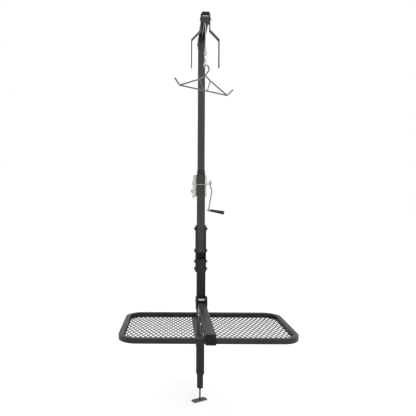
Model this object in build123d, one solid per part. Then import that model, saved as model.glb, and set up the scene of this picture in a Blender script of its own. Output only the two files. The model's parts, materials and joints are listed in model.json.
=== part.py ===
from build123d import *
import math
import os

# Hitch-mounted game hoist with a fold-up platform.
# Built upright: X to the side, +Y towards the vehicle, +Z up, mast axis at x = 0, y = 0, ground at z = 0.
# Each piece is then moved so that the centre of the hitch pin hole is the origin.

# ---- stock and fits (mm) ----
TUBE = 50.8              # 2 in square tube: shank, post, mid mast, platform bar
WALL = 4.76
TUBE_CORNER = 3.0
UPPER_WALL = 3.2
MID_WALL = 3.0           # leaves room for the upper mast
UPPER_FIT = 0.175        # upper mast inside the mid mast
LEG_GAP = 1.59           # sliding leg to the bore of the post
LEG_WALL = 3.0
WING_TUBE = 25.4
WING_WALL = 2.0
PLATE = 6.0              # hinge lugs and wing rails
SPLICE_PLATE = 8.0
EAR_PLATE = 10.0
SIDE_FIT = 0.3           # a plate beside a tube
FOLD_FIT = 0.5           # a plate beside something that swings past it
SLIDE_FIT = 0.6          # a guide round a sliding tube
RUN_FIT = 0.05           # a turning pin in its hole
BOLT_FIT = 0.4           # a bolt in its hole
NEAR = 0.3               # parts that pass without touching

# ---- heights above the ground ----
SHANK_Z = 358.0
LEG_BOTTOM = 84.0
LEG_INSIDE = 260.0       # leg hidden in the post
POST_BOTTOM = 185.0
POST_TOP = 915.0
GUIDE_HEIGHT = 16.0      # tapered guide under the post
BAR_BOTTOM = 596.0
HINGE_RISE = 14.2        # hinge axis above the bar
SPLICE_UNDER = 84.0      # channel below the top of the post
SPLICE_OVER = 218.0      # channel above the top of the post
SPLICE_BOLT_DROP = (63.0, 15.0)
FOLD_RISE = 54.0         # fold pivot above the post
FOLD_TO_MID = 9.0        # fold pivot to the foot of the mid mast
LOCK_RISE = 196.0        # lock bolt above the post
BRACKET_TALL = 138.0     # from the top of the mid mast down
MID_TOP = 1461.0
MAST_COLLAR_HEIGHT = 28.0
MAST_COLLAR_LIP = 1.2
UPPER_INSIDE = 130.0     # upper mast hidden in the mid mast
BOOM_BOTTOM = 2332.0

# ---- hitch shank ----
PIN_REACH = 587.0        # mast axis to the hitch pin
PIN_TO_END = 63.0
SHANK_WALL = 6.35
PIN_HOLE_R = 8.1
PIN_SLEEVE_R = 11.0

# ---- bolts ----
BIG_BOLT_R = 6.35
BIG_HEAD = 19.0          # across flats
BIG_HEAD_HIGH = 8.5
SMALL_BOLT_R = 4.0
SMALL_HEAD = 13.0
SMALL_HEAD_HIGH = 5.5

# ---- foot ----
FOOT_LONG = 98.0
FOOT_WIDE = 40.0
FOOT_THICK = 5.0
FOOT_YAW = 29.0
FOOT_SHIFT_X = -4.0
FOOT_SHIFT_Y = -5.0
FOOT_ROD_R = 5.5
FOOT_ROD_TOP = 130.0
FOOT_SOCKET_R = 8.0
FOOT_SOCKET_HIGH = 8.0
FOOT_NUT_FLATS = 22.0
FOOT_NUT_HIGH = 9.0
LEG_PLUG = 6.0           # end plate of the leg
CLAMP_BAR_R = 3.0
CLAMP_BAR_LONG = 44.0
CLAMP_BAR_OUT = 8.0      # from the post's back

# ---- platform ----
BAR_FRONT = -755.0
BAR_X = 3.0              # the bar and hinge sit to one side
BAR_CAP = 3.0
BAR_GAP = 1.0            # bar end to the post
HINGE_OUT = 39.6         # hinge axis in front of the post
HINGE_PIN_R = 9.5
HINGE_HEAD_R = 11.0
HINGE_HEAD = 5.0
EAR_OUT = 27.0           # ear in front of the hinge axis
EAR_ABOVE = 20.0         # ear above the hinge axis
EAR_RISE = 4.0           # ear above the underside of the bar
EAR_ROUND = 22.0
STRAP_THICK = 4.6        # from the right ear up to the splice
STRAP_OUT = 4.6          # strap in front of the post
STRAP_BACK = 15.0
STRAP_DROP = 6.0         # foot of the strap below the hinge axis
LUG_R = 15.0
WING_OUT = 447.0
WING_FRONT = -735.0
WING_BACK = -213.0
WING_CORNER = 95.0       # outer radius
MESH_THICK = 3.0
MESH_RISE = 1.0          # mesh above the underside of the wing tubes
MESH_PITCH_X = 25.4
MESH_PITCH_Y = 52.4
MESH_STRAND = 3.4
MESH_RIM = 3.0
MESH_LEAST = 20.0        # smallest opening, mm2
CORNER_EDGES = 7
WING_BOLT_Y = (-250.0, -443.0, -637.0)
WING_BOLT_RISE = 16.0
RAIL_STOP = 36.0         # closes the gap beside the bar at the front

# ---- splice channel ----
SPLICE_LIP = 4.6         # channel in front of the tubes
WEB_GAP = 2.0            # lets the foot of the mid mast swing
SPLICE_CHAMFER = 12.0

# ---- winch ----
BRACKET_WALL = 3.5
BRACKET_CHAMFER = 6.0
BRACKET_BEHIND = 5.4     # bracket behind the front of the mast
U_BOLT_R = 2.5           # clamps the winch plate round the mast
U_BOLT_DROP = 66.0       # below the top of the mid mast
U_BOLT_BEND = 5.0
WINCH_SHEET = 3.0
WINCH_BASE = 4.0
BASE_PAST_LEFT = 17.0    # base plate past the side plates
WINCH_PAST_RIGHT = 10.6  # right side plate past the mast
WINCH_TALL = 139.0
WINCH_DEEP = 134.0
DRUM_BACK = 61.8         # drum axis behind the base plate
DRUM_DROP = 103.0        # drum axis below the top of the mid mast
DRUM_SHAFT_R = 8.0
DRUM_HUB_R = 13.0
DRUM_FLANGE_R = 42.0
DRUM_FLANGE = 2.5
DRUM_SIDE_GAP = 1.5
WRAP_R = 22.0
SHAFT_R = 7.0
MODULE = 2.5
GEAR_TEETH = 35
PINION_TEETH = 11
PRESSURE = math.radians(25.0)
BACKLASH = 0.7
GEAR_FACE = 12.0
GEAR_GAP = 3.5           # gear to the side plate
CRANK_DROP = 48.0
RATCHET_R = 20.0
RATCHET_TEETH = 12
RATCHET_FACE = 5.5
NOTCH_DEEP = 4.5
NOTCH_WIDE = 5.2
PAWL_TOOTH = 3.6
PAWL_ARM = 34.0
PAWL_REACH = 24.0
PAWL_WIDE = 7.0
PAWL_ANGLE = 70.0
PAWL_LIFT = 18.0
PAWL_PIN_R = 3.5
CRANK_FLAT = 6.0
CRANK_WIDE = 22.0
CRANK_OUT = 30.0         # crank arm past the right side plate
CRANK_ABOVE = 19.0       # arm above its shaft
CRANK_STRAIGHT = 13.0    # arm below its shaft before the first bend
CRANK_KNEE_OUT = 11.8
CRANK_KNEE_DROP = 54.0
CRANK_END_IN = 12.0
CRANK_END_DROP = 193.0
CRANK_END_EDGE = 11.0    # end of the arm to the grip's stud
STUD_R = 4.0
STUD_HEAD_R = 6.5
STUD_HEAD_LONG = 9.0
STUD_NUT = 13.0
STUD_NUT_HIGH = 5.0
GRIP_LONG = 98.0
GRIP_THIN_R = 8.5
GRIP_THICK_R = 13.0

# ---- boom, sheaves and cable ----
BOOM_NOSE = 25.5         # boom in front of the front sheave
BOOM_TALL = 24.0         # a channel, open below
BOOM_TAIL = 12.0         # boom behind the rear sheave
CHEEK_HALF = 19.5        # cheeks that hold the rear sheave
CHEEK_DROP = 28.0
CHEEK_ROUND = 14.0
NOSE_DROP = 28.0         # nose of the boom below the front axle
NOSE_BACK = 21.0         # nose behind the front axle
NOSE_PLATE = 3.0         # closes the front of the nose
NOSE_GAP = 3.0           # from the axle up to where the nose is open
FORK_FLAT = 5.0
FORK_WIDE = 30.0
FORK_ABOVE = 29.0        # fork above the front axle
FORK_ROUND = 8.0
FORK_SPREAD = 75.5
FORK_KNEE_TOP_DROP = 74.0    # heights below the boom
FORK_KNEE_LOW_DROP = 129.0
FORK_DROP = 286.0
CABLE_R = 2.4
SHEAVE_R = 15.0          # to the middle of the cable
SHEAVE_LIP = 3.0
SHEAVE_SIDE = 4.465      # sheave to the walls beside it
SHEAVE_DROP = 8.0        # sheave axes below the boom
AXLE_R = 5.0
AXLE_HEAD = 14.0
AXLE_HEAD_HIGH = 4.0
AXLE_SPACER_R = 7.5
FRONT_SHEAVE_Y = -330.0
KEEPER_R = 3.5
KEEPER_ABOVE = 8.5       # keeper above the sheave axes

# ---- hook and gambrel ----
FERRULE_DROP = 181.0     # below the boom
FERRULE_LONG = 18.0
FERRULE_R = 5.0
EYE_ROD_R = 2.4
EYE_R = 8.0
LINK_R = 6.5
LINK_ROD_R = 2.2
SWIVEL_R = 6.0
SWIVEL_LONG = 14.0
STEM_R = 3.0
HOOK_ROD_R = 3.5
HOOK_BEND_R = 11.0
HOOK_DROP = 103.0        # middle of the rod at the bottom of the hook, below the ferrule
GATE_R = 1.8
GATE_PIN_R = 1.2
GAMBREL_YAW = 36.0
GAMBREL_ROD_R = 4.0
GAMBREL_DROP = 137.0     # bottom bar below the hook
GAMBREL_LEFT = -182.0    # ends of the bottom bar, along it from the hook
GAMBREL_RIGHT = 169.0
GAMBREL_LEFT_TIP = (-215.0, 35.0)   # prong tips: along the bar and above it
GAMBREL_RIGHT_TIP = (216.0, 41.0)
GAMBREL_LEFT_JOINT = (-42.0, 58.0)  # where the braces meet the long rods
GAMBREL_RIGHT_JOINT = (36.0, 63.0)
GAMBREL_CROSS = (2.0, 89.0)
GAMBREL_RIGHT_END = (3.0, 84.0)
GAMBREL_LOOP_OUT = (29.0, 124.0)
GAMBREL_LOOP_TOP = 22.0
GAMBREL_LOOP_END = -6.0
GAMBREL_BRACE_FEET = (-12.0, 16.0)
GAMBREL_BEND = 14.0
GAMBREL_EASY_BEND = 40.0
GAMBREL_LOOP_BEND = 10.0

# ---- sizes worked out from those above ----
HALF = TUBE / 2
UPPER_TUBE = TUBE - 2 * MID_WALL - 2 * UPPER_FIT
LEG_TUBE = TUBE - 2 * WALL - 2 * LEG_GAP
BOOM_WIDE = UPPER_TUBE
SPLICE_BOTTOM = POST_TOP - SPLICE_UNDER
SPLICE_TOP = POST_TOP + SPLICE_OVER
SPLICE_BOLT_Z = tuple(POST_TOP - drop for drop in SPLICE_BOLT_DROP)
SPLICE_FRONT = -HALF - SPLICE_LIP
FOLD_Z = POST_TOP + FOLD_RISE
LOCK_Z = POST_TOP + LOCK_RISE
HINGE_Z = BAR_BOTTOM + TUBE + HINGE_RISE
HINGE_Y = -HALF - HINGE_OUT
EAR_FRONT = HINGE_Y - EAR_OUT
EAR_TOP = HINGE_Z + EAR_ABOVE
EAR_BOTTOM = BAR_BOTTOM + EAR_RISE
STRAP_FRONT = -HALF - STRAP_OUT
STRAP_BOTTOM = HINGE_Z - STRAP_DROP
WING_BOLT_Z = BAR_BOTTOM + WING_BOLT_RISE
MID_BOTTOM = FOLD_Z - FOLD_TO_MID
BAR_TOP = BAR_BOTTOM + TUBE
BRACKET_IN = HALF + SIDE_FIT
BRACKET_OUT = BRACKET_IN + BRACKET_WALL
BRACKET_BOTTOM = MID_TOP - BRACKET_TALL
BRACKET_FRONT = -HALF + BRACKET_BEHIND
U_BOLT_X = BRACKET_IN + U_BOLT_R
U_BOLT_Z = MID_TOP - U_BOLT_DROP
WINCH_LEFT = -U_BOLT_X - U_BOLT_R - NEAR
WINCH_RIGHT = HALF + WINCH_PAST_RIGHT
LEFT_OUT = WINCH_LEFT - WINCH_SHEET
RIGHT_OUT = WINCH_RIGHT + WINCH_SHEET
BASE_LEFT = LEFT_OUT - BASE_PAST_LEFT
BASE_RIGHT = RIGHT_OUT
WINCH_BOTTOM = MID_TOP - WINCH_TALL
BOOM_HALF = BOOM_WIDE / 2
RAIL_IN = HALF + BAR_X
RAIL_OUT = RAIL_IN + PLATE
SPLICE_IN = HALF + SIDE_FIT
SPLICE_OUT = SPLICE_IN + SPLICE_PLATE
BASE_BACK = BRACKET_OUT + WINCH_BASE
GEAR_PITCH_R = MODULE * GEAR_TEETH / 2
PINION_PITCH_R = MODULE * PINION_TEETH / 2
GEAR_CENTRES = GEAR_PITCH_R + PINION_PITCH_R
DRUM_Y = BASE_BACK + DRUM_BACK
DRUM_Z = MID_TOP - DRUM_DROP
CRANK_Z = MID_TOP - CRANK_DROP
CRANK_X = RIGHT_OUT + CRANK_OUT
CRANK_Y = DRUM_Y + math.sqrt(GEAR_CENTRES**2 - (CRANK_Z - DRUM_Z) ** 2)
GEAR_RIGHT = LEFT_OUT - GEAR_GAP
GEAR_LEFT = GEAR_RIGHT - GEAR_FACE
SHEAVE_Z = BOOM_BOTTOM - SHEAVE_DROP
SHEAVE_WIDE = BOOM_WIDE - 2 * WALL - 2 * SHEAVE_SIDE
RISER_Y = DRUM_Y - WRAP_R - CABLE_R - NEAR
REAR_SHEAVE_Y = RISER_Y - SHEAVE_R
BOOM_BACK = REAR_SHEAVE_Y + SHEAVE_R + SHEAVE_LIP + BOOM_TAIL
CABLE_TOP = SHEAVE_Z + SHEAVE_R
BOOM_FRONT = FRONT_SHEAVE_Y - BOOM_NOSE
KEEPER_REACH = SHEAVE_R + SHEAVE_LIP + KEEPER_R + 2 * NEAR
KEEPER_Y = FRONT_SHEAVE_Y - math.sqrt(KEEPER_REACH**2 - KEEPER_ABOVE**2)
KEEPER_Z = SHEAVE_Z + KEEPER_ABOVE
FORK_KNEE_TOP = BOOM_BOTTOM - FORK_KNEE_TOP_DROP
FORK_KNEE_LOW = BOOM_BOTTOM - FORK_KNEE_LOW_DROP
FORK_BOTTOM = BOOM_BOTTOM - FORK_DROP
FERRULE_TOP = BOOM_BOTTOM - FERRULE_DROP
HOOK_LOW = FERRULE_TOP - HOOK_DROP
GAMBREL_LOW = HOOK_LOW - GAMBREL_DROP
DROP_Y = FRONT_SHEAVE_Y - SHEAVE_R
EYE_Z = FERRULE_TOP - FERRULE_LONG - EYE_R - EYE_ROD_R


# ---------------------------------------------------------------- building blocks
def block(x0, x1, y0, y1, z0, z1):
    """A box between two corners."""
    middle = Pos((x0 + x1) / 2, (y0 + y1) / 2, (z0 + z1) / 2)
    return middle * Box(x1 - x0, y1 - y0, z1 - z0)


def rod_x(radius, x0, x1, y, z):
    return Pos((x0 + x1) / 2, y, z) * Rot(0, 90, 0) * Cylinder(radius, x1 - x0)


def rod_y(radius, y0, y1, x, z):
    return Pos(x, (y0 + y1) / 2, z) * Rot(90, 0, 0) * Cylinder(radius, y1 - y0)


def rod_z(radius, z0, z1, x=0.0, y=0.0):
    return Pos(x, y, (z0 + z1) / 2) * Cylinder(radius, z1 - z0)


def side_plane(x, y=0.0, z=0.0):
    """A plane that faces +X, with its own x along Y and its own y along Z."""
    return Plane(origin=(x, y, z), x_dir=(0, 1, 0), z_dir=(1, 0, 0))


def hex_x(flats, x0, x1, y, z):
    shape = RegularPolygon(flats / 2, 6, major_radius=False)
    return extrude(side_plane(x0, y, z) * shape, x1 - x0)


def hex_z(flats, z0, z1, x=0.0, y=0.0):
    shape = RegularPolygon(flats / 2, 6, major_radius=False)
    return extrude(Plane.XY.offset(z0) * Pos(x, y) * shape, z1 - z0)


def tube_face(size, wall, corner=TUBE_CORNER):
    inside = size - 2 * wall
    return RectangleRounded(size, size, corner) - Rectangle(inside, inside)


def tube_z(size, wall, z0, z1):
    return extrude(Plane.XY.offset(z0) * tube_face(size, wall), z1 - z0)


def tube_y(size, wall, y0, y1, z):
    plane = Plane(origin=(0, y0, z), x_dir=(1, 0, 0), z_dir=(0, 1, 0))
    return extrude(plane * tube_face(size, wall), y1 - y0)


def tapered_guide(z0, z1, low, high, bore):
    """A square ring that tapers from one outer width to another."""
    low_face = Plane.XY.offset(z0) * RectangleRounded(low, low, TUBE_CORNER)
    high_face = Plane.XY.offset(z1) * RectangleRounded(high, high, TUBE_CORNER)
    solid = loft([low_face.face(), high_face.face()])
    return solid - block(-bore / 2, bore / 2, -bore / 2, bore / 2, z0 - 1, z1 + 1)


def outline_of(points):
    """A flat face round the points, facing its plane's own way whichever way round they go."""
    turning = 0.0
    for i, (x, y) in enumerate(points):
        turning += points[i - 1][0] * y - x * points[i - 1][1]
    return Polygon(*(points if turning > 0 else points[::-1]), align=None)


def strip(points, thick):
    """A bent flat bar's side view: the outline of a polyline with a thickness."""
    left = []
    right = []
    for i, (x, y) in enumerate(points):
        before = points[max(i - 1, 0)]
        after = points[min(i + 1, len(points) - 1)]
        a = (Vector(x, y) - Vector(*before)) if i else (Vector(*after) - Vector(x, y))
        b = (Vector(*after) - Vector(x, y)) if i < len(points) - 1 else a
        normal = (a.normalized() + b.normalized()).rotate(Axis.Z, 90).normalized()
        reach = thick / 2 / math.cos(math.radians(a.get_angle(b) / 2))
        left.append((x + normal.X * reach, y + normal.Y * reach))
        right.append((x - normal.X * reach, y - normal.Y * reach))
    return outline_of(left + right[::-1])


def bolt_x(radius, flats, high, x0, x1, y, z):
    """A bolt along X: its head ends at x0 and its shank at x1."""
    return hex_x(flats, x0 - high, x0, y, z) + rod_x(radius, x0 - 0.01, x1, y, z)


def nut_x(radius, flats, high, x0, y, z):
    return hex_x(flats, x0, x0 + high, y, z) - rod_x(radius + RUN_FIT, x0 - 1, x0 + high + 1, y, z)


def bent_rod(points, radii, radius):
    """A round rod along straight runs joined by arcs."""
    path = FilletPolyline(*points, radius=radii)
    start = Plane(origin=path @ 0, z_dir=path % 0)
    return sweep(start * Circle(radius), path=path)


def save(node, shape):
    moved = Pos(0, -PIN_REACH, -SHANK_Z) * shape
    solids = moved.solids()
    export_step(solids[0] if len(solids) == 1 else Compound(children=solids), f"parts/{node}.step")


# ---------------------------------------------------------------- post, shank and leg
def build_post():
    shank_end = PIN_REACH + PIN_TO_END
    shank = tube_y(TUBE, SHANK_WALL, HALF, shank_end, SHANK_Z)
    shank -= rod_x(PIN_SLEEVE_R, -TUBE, TUBE, PIN_REACH, SHANK_Z)
    save("hitch_shank", shank)
    sleeve = rod_x(PIN_SLEEVE_R, -HALF, HALF, PIN_REACH, SHANK_Z)
    save("hitch_pin_sleeve", sleeve - rod_x(PIN_HOLE_R, -TUBE, TUBE, PIN_REACH, SHANK_Z))

    post = tube_z(TUBE, WALL, POST_BOTTOM, POST_TOP)
    for z in SPLICE_BOLT_Z:
        post -= rod_x(BIG_BOLT_R + BOLT_FIT, -TUBE, TUBE, 0, z)
    save("mast_post", post)

    leg_bore = LEG_TUBE + 2 * SLIDE_FIT
    guide_bottom = POST_BOTTOM - GUIDE_HEIGHT
    clamp_z = POST_BOTTOM - GUIDE_HEIGHT * 0.45
    guide = tapered_guide(guide_bottom, POST_BOTTOM, leg_bore + 5.0, TUBE, leg_bore)
    guide -= rod_y(SMALL_BOLT_R + RUN_FIT, LEG_TUBE / 2, TUBE, 0, clamp_z)
    save("leg_guide", guide)
    tip = LEG_TUBE / 2 + NEAR
    bar_y = HALF + CLAMP_BAR_OUT
    clamp = rod_y(SMALL_BOLT_R, tip, bar_y + SMALL_BOLT_R, 0, clamp_z)
    bar = rod_x(CLAMP_BAR_R, -CLAMP_BAR_LONG / 2, CLAMP_BAR_LONG / 2, bar_y, clamp_z)
    save("leg_clamp_screw", clamp + bar)


def build_leg():
    top = POST_BOTTOM + LEG_INSIDE
    leg = tube_z(LEG_TUBE, LEG_WALL, LEG_BOTTOM + LEG_PLUG, top)
    save("inner_leg", leg)
    plug = extrude(Plane.XY.offset(LEG_BOTTOM) * RectangleRounded(LEG_TUBE, LEG_TUBE, 2), LEG_PLUG)
    nut = hex_z(FOOT_NUT_FLATS, LEG_BOTTOM - FOOT_NUT_HIGH, LEG_BOTTOM + 0.01)
    bore = rod_z(FOOT_ROD_R + RUN_FIT, 0, top)
    save("leg_nut_plate", plug + nut - bore)

    turn = Rot(0, 0, FOOT_YAW)
    plate = extrude(RectangleRounded(FOOT_LONG, FOOT_WIDE, 4), FOOT_THICK)
    socket = rod_z(FOOT_SOCKET_R, FOOT_THICK - 0.01, FOOT_THICK + FOOT_SOCKET_HIGH)
    socket -= rod_z(FOOT_ROD_R + NEAR, FOOT_THICK, FOOT_THICK + FOOT_SOCKET_HIGH + 1)
    save("foot_plate", Pos(FOOT_SHIFT_X, FOOT_SHIFT_Y) * turn * plate + socket)
    save("foot_screw", rod_z(FOOT_ROD_R, FOOT_THICK + NEAR, FOOT_ROD_TOP))


# ---------------------------------------------------------------- platform
def ear(x0, x1):
    """One hinge ear on the front of the post."""
    outline = outline_of([
        (-HALF, EAR_BOTTOM),
        (EAR_FRONT + EAR_ROUND, EAR_BOTTOM),
        (EAR_FRONT, EAR_BOTTOM + EAR_ROUND),
        (EAR_FRONT, EAR_TOP),
        (-HALF, EAR_TOP),
    ])
    corner = outline.vertices().filter_by(lambda v: v.X < EAR_FRONT + 1 and v.Y > EAR_TOP - 1)
    outline = fillet(corner, EAR_ROUND)
    plate = extrude(side_plane(x0) * outline, x1 - x0)
    return plate - rod_x(HINGE_PIN_R + RUN_FIT, x0 - 1, x1 + 1, HINGE_Y, HINGE_Z)


def build_hinge():
    near = HALF + FOLD_FIT
    far = near + EAR_PLATE
    strap = block(HALF, HALF + STRAP_THICK, STRAP_FRONT, STRAP_BACK, STRAP_BOTTOM, SPLICE_BOTTOM - NEAR)
    right = ear(BAR_X + near, BAR_X + far) + strap
    save("hinge_ears", Compound(children=[ear(BAR_X - far, BAR_X - near), right]))
    pin = rod_x(HINGE_PIN_R, BAR_X - far, BAR_X + far, HINGE_Y, HINGE_Z)
    head = rod_x(HINGE_HEAD_R, BAR_X - far - HINGE_HEAD, BAR_X - far, HINGE_Y, HINGE_Z)
    save("hinge_pin", pin + head)


def clip(points, inside, cross):
    """Cuts a polygon by one straight edge."""
    kept = []
    for i, point in enumerate(points):
        before = points[i - 1]
        if inside(point) != inside(before):
            kept.append(cross(before, point))
        if inside(point):
            kept.append(point)
    return kept


def clip_to(points, x0, x1, y0, y1):
    """Cuts a polygon to a rectangle."""

    def at_x(x):
        return lambda a, b: (x, a[1] + (b[1] - a[1]) * (x - a[0]) / (b[0] - a[0]))

    def at_y(y):
        return lambda a, b: (a[0] + (b[0] - a[0]) * (y - a[1]) / (b[1] - a[1]), y)

    points = clip(points, lambda p: p[0] >= x0, at_x(x0))
    points = clip(points, lambda p: p[0] <= x1, at_x(x1)) if points else []
    points = clip(points, lambda p: p[1] >= y0, at_y(y0)) if points else []
    return clip(points, lambda p: p[1] <= y1, at_y(y1)) if points else []


def clip_corner(points, middle_x, middle_y, radius, side):
    """Cuts a polygon to a rounded corner on +X, by edges that touch its arc."""
    for step in range(1, CORNER_EDGES):
        angle = math.pi / 2 * step / CORNER_EDGES
        across = math.cos(angle)
        up = side * math.sin(angle)

        def out(p):
            return (p[0] - middle_x) * across + (p[1] - middle_y) * up - radius

        def cross(a, b):
            share = out(a) / (out(a) - out(b))
            return (a[0] + (b[0] - a[0]) * share, a[1] + (b[1] - a[1]) * share)

        points = clip(points, lambda p: out(p) <= 0, cross) if points else []
    return points


def area_of(points):
    total = 0.0
    for i, (x, y) in enumerate(points):
        total += points[i - 1][0] * y - x * points[i - 1][1]
    return abs(total) / 2


def expanded_panel(x0, x1, y0, y1, corner):
    """A flat expanded-metal panel: rows of staggered diamonds in a plain rim, its outer corners rounded."""
    holes = []
    half_x = (MESH_PITCH_X - MESH_STRAND) / 2
    half_y = (MESH_PITCH_Y - MESH_STRAND * MESH_PITCH_Y / MESH_PITCH_X) / 2
    columns = int((x1 - x0) / MESH_PITCH_X) + 2
    rows = int((y1 - y0) / MESH_PITCH_Y) + 2
    for column in range(2 * columns):
        for row in range(-1, rows):
            cx = x0 + column * MESH_PITCH_X / 2
            cy = y0 + (row + 0.5 * (column % 2)) * MESH_PITCH_Y
            diamond = [(cx - half_x, cy), (cx, cy - half_y), (cx + half_x, cy), (cx, cy + half_y)]
            cut = clip_to(diamond, x0 + MESH_RIM, x1 - MESH_RIM, y0 + MESH_RIM, y1 - MESH_RIM)
            cut = clip_corner(cut, x1 - corner, y1 - corner, corner - MESH_RIM, 1)
            cut = clip_corner(cut, x1 - corner, y0 + corner, corner - MESH_RIM, -1)
            if len(cut) > 2 and area_of(cut) > MESH_LEAST:
                holes.append(Wire.make_polygon([Vector(x, y) for x, y in cut], close=True))
    outline = Pos((x0 + x1) / 2, (y0 + y1) / 2) * Rectangle(x1 - x0, y1 - y0)
    outline = fillet(outline.vertices().sort_by(Axis.X)[2:], corner)
    return Face(outline.face().outer_wire(), holes)


def build_platform():
    bar_z = BAR_BOTTOM + HALF
    bar = Pos(BAR_X, 0, 0) * tube_y(TUBE, WALL, BAR_FRONT + BAR_CAP, -HALF - BAR_GAP, bar_z)
    for y in WING_BOLT_Y:
        bar -= rod_x(SMALL_BOLT_R + BOLT_FIT, -TUBE, TUBE, y, WING_BOLT_Z)
    save("platform_bar", bar)

    cap_plane = Plane(origin=(BAR_X, BAR_FRONT, bar_z), x_dir=(1, 0, 0), z_dir=(0, 1, 0))
    inside = TUBE - 2 * WALL - 2 * NEAR
    cap = extrude(cap_plane * RectangleRounded(TUBE, TUBE, TUBE_CORNER), BAR_CAP)
    save("bar_end_cap", cap + extrude(cap_plane * Rectangle(inside, inside), 18))

    lugs = []
    for x0 in (BAR_X - HALF + NEAR, BAR_X + HALF - NEAR - PLATE):
        foot = block(x0, x0 + PLATE, HINGE_Y - LUG_R, HINGE_Y + LUG_R, BAR_TOP, HINGE_Z)
        lug = foot + rod_x(LUG_R, x0, x0 + PLATE, HINGE_Y, HINGE_Z)
        lug -= block(x0 - 1, x0 + PLATE + 1, HINGE_Y - TUBE, HINGE_Y + TUBE, HINGE_Z - TUBE, BAR_TOP)
        lugs.append(lug - rod_x(HINGE_PIN_R + RUN_FIT, -TUBE, TUBE, HINGE_Y, HINGE_Z))
    save("bar_lugs", Compound(children=lugs))

    wing_z = BAR_BOTTOM + WING_TUBE / 2
    bend = WING_CORNER - WING_TUBE / 2
    x_out = WING_OUT - WING_TUBE / 2
    y_front = WING_FRONT + WING_TUBE / 2
    y_back = WING_BACK - WING_TUBE / 2
    route = FilletPolyline(
        (RAIL_OUT, y_back, wing_z),
        (x_out, y_back, wing_z),
        (x_out, y_front, wing_z),
        (RAIL_OUT, y_front, wing_z),
        radius=bend,
    )
    start = Plane(origin=route @ 0, x_dir=(0, 1, 0), z_dir=(1, 0, 0))
    outer = sweep(start * RectangleRounded(WING_TUBE, WING_TUBE, 2), path=route)
    hollow = WING_TUBE - 2 * WING_WALL
    frame = outer - sweep(start * Rectangle(hollow, hollow), path=route)

    mesh_z = BAR_BOTTOM + MESH_RISE
    panel = expanded_panel(
        RAIL_OUT,
        WING_OUT - WING_TUBE,
        WING_FRONT + WING_TUBE,
        WING_BACK - WING_TUBE,
        WING_CORNER - WING_TUBE + 1.0,
    )
    mesh = Pos(0, 0, mesh_z) * extrude(panel, MESH_THICK)
    rail = block(RAIL_IN, RAIL_OUT, WING_FRONT, WING_BACK, BAR_BOTTOM, BAR_BOTTOM + WING_TUBE)
    for y in WING_BOLT_Y:
        rail -= rod_x(SMALL_BOLT_R + BOLT_FIT, RAIL_IN - 1, RAIL_OUT + 1, y, WING_BOLT_Z)
    for name, shape in (("wing_frame", frame), ("wing_mesh", mesh)):
        save(f"right_{name}", shape)
        save(f"left_{name}", mirror(shape, about=Plane.YZ))
    stop = block(
        -RAIL_IN, BAR_X - HALF - NEAR, WING_FRONT, WING_FRONT + RAIL_STOP, BAR_BOTTOM, BAR_BOTTOM + WING_TUBE
    )
    save("wing_rails", Compound(children=[rail, mirror(rail, about=Plane.YZ) + stop]))

    bolts = []
    for y in WING_BOLT_Y:
        end = RAIL_OUT + SMALL_HEAD_HIGH + 2
        bolt = bolt_x(SMALL_BOLT_R, SMALL_HEAD, SMALL_HEAD_HIGH, -RAIL_OUT, end, y, WING_BOLT_Z)
        spacer = hex_x(SMALL_HEAD, -RAIL_IN, BAR_X - HALF, y, WING_BOLT_Z)
        bolts.append(bolt + spacer)
        bolts.append(nut_x(SMALL_BOLT_R, SMALL_HEAD, SMALL_HEAD_HIGH, RAIL_OUT, y, WING_BOLT_Z))
    save("wing_bolts", Compound(children=bolts))


# ---------------------------------------------------------------- splice
def build_splice():
    inner = SPLICE_IN
    outer = SPLICE_OUT
    web = HALF + WEB_GAP
    shell = block(-outer, outer, SPLICE_FRONT, web + PLATE, SPLICE_BOTTOM, SPLICE_TOP)
    shell -= block(-inner, inner, SPLICE_FRONT - 1, web, SPLICE_BOTTOM - 1, SPLICE_TOP + 1)
    front_edges = shell.edges().filter_by(Axis.X).filter_by(lambda e: e.center().Y < SPLICE_FRONT + 1)
    shell = chamfer(front_edges, SPLICE_CHAMFER)
    shell = fillet(shell.edges().filter_by(Axis.Z).filter_by(lambda e: e.center().Y > web + 1), 4)
    for z in (*SPLICE_BOLT_Z, FOLD_Z):
        shell -= rod_x(BIG_BOLT_R + (RUN_FIT if z == FOLD_Z else BOLT_FIT), -TUBE, TUBE, 0, z)
    reach = LOCK_Z - FOLD_Z
    drop = reach - math.sqrt(reach**2 - SPLICE_FRONT**2)
    slot_r = BIG_BOLT_R + 1.0
    slot = rod_x(slot_r, -TUBE, TUBE, 0, LOCK_Z)
    slot += block(-TUBE, TUBE, SPLICE_FRONT - 1, 0, LOCK_Z - slot_r - drop, LOCK_Z + slot_r)
    save("splice_channel", shell - slot)

    end = outer + BIG_HEAD_HIGH + 2
    bolts = []
    for z in SPLICE_BOLT_Z:
        bolts.append(bolt_x(BIG_BOLT_R, BIG_HEAD, BIG_HEAD_HIGH, -outer, end, 0, z))
        bolts.append(nut_x(BIG_BOLT_R, BIG_HEAD, BIG_HEAD_HIGH, outer, 0, z))
    save("splice_bolts", Compound(children=bolts))
    for name, z in (("fold_pivot_bolt", FOLD_Z), ("mast_lock_bolt", LOCK_Z)):
        bolt = bolt_x(BIG_BOLT_R, BIG_HEAD, BIG_HEAD_HIGH, -outer - NEAR, end, 0, z)
        nut = nut_x(BIG_BOLT_R, BIG_HEAD, BIG_HEAD_HIGH, outer + NEAR, 0, z)
        save(name, Compound(children=[bolt, nut]))


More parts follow.
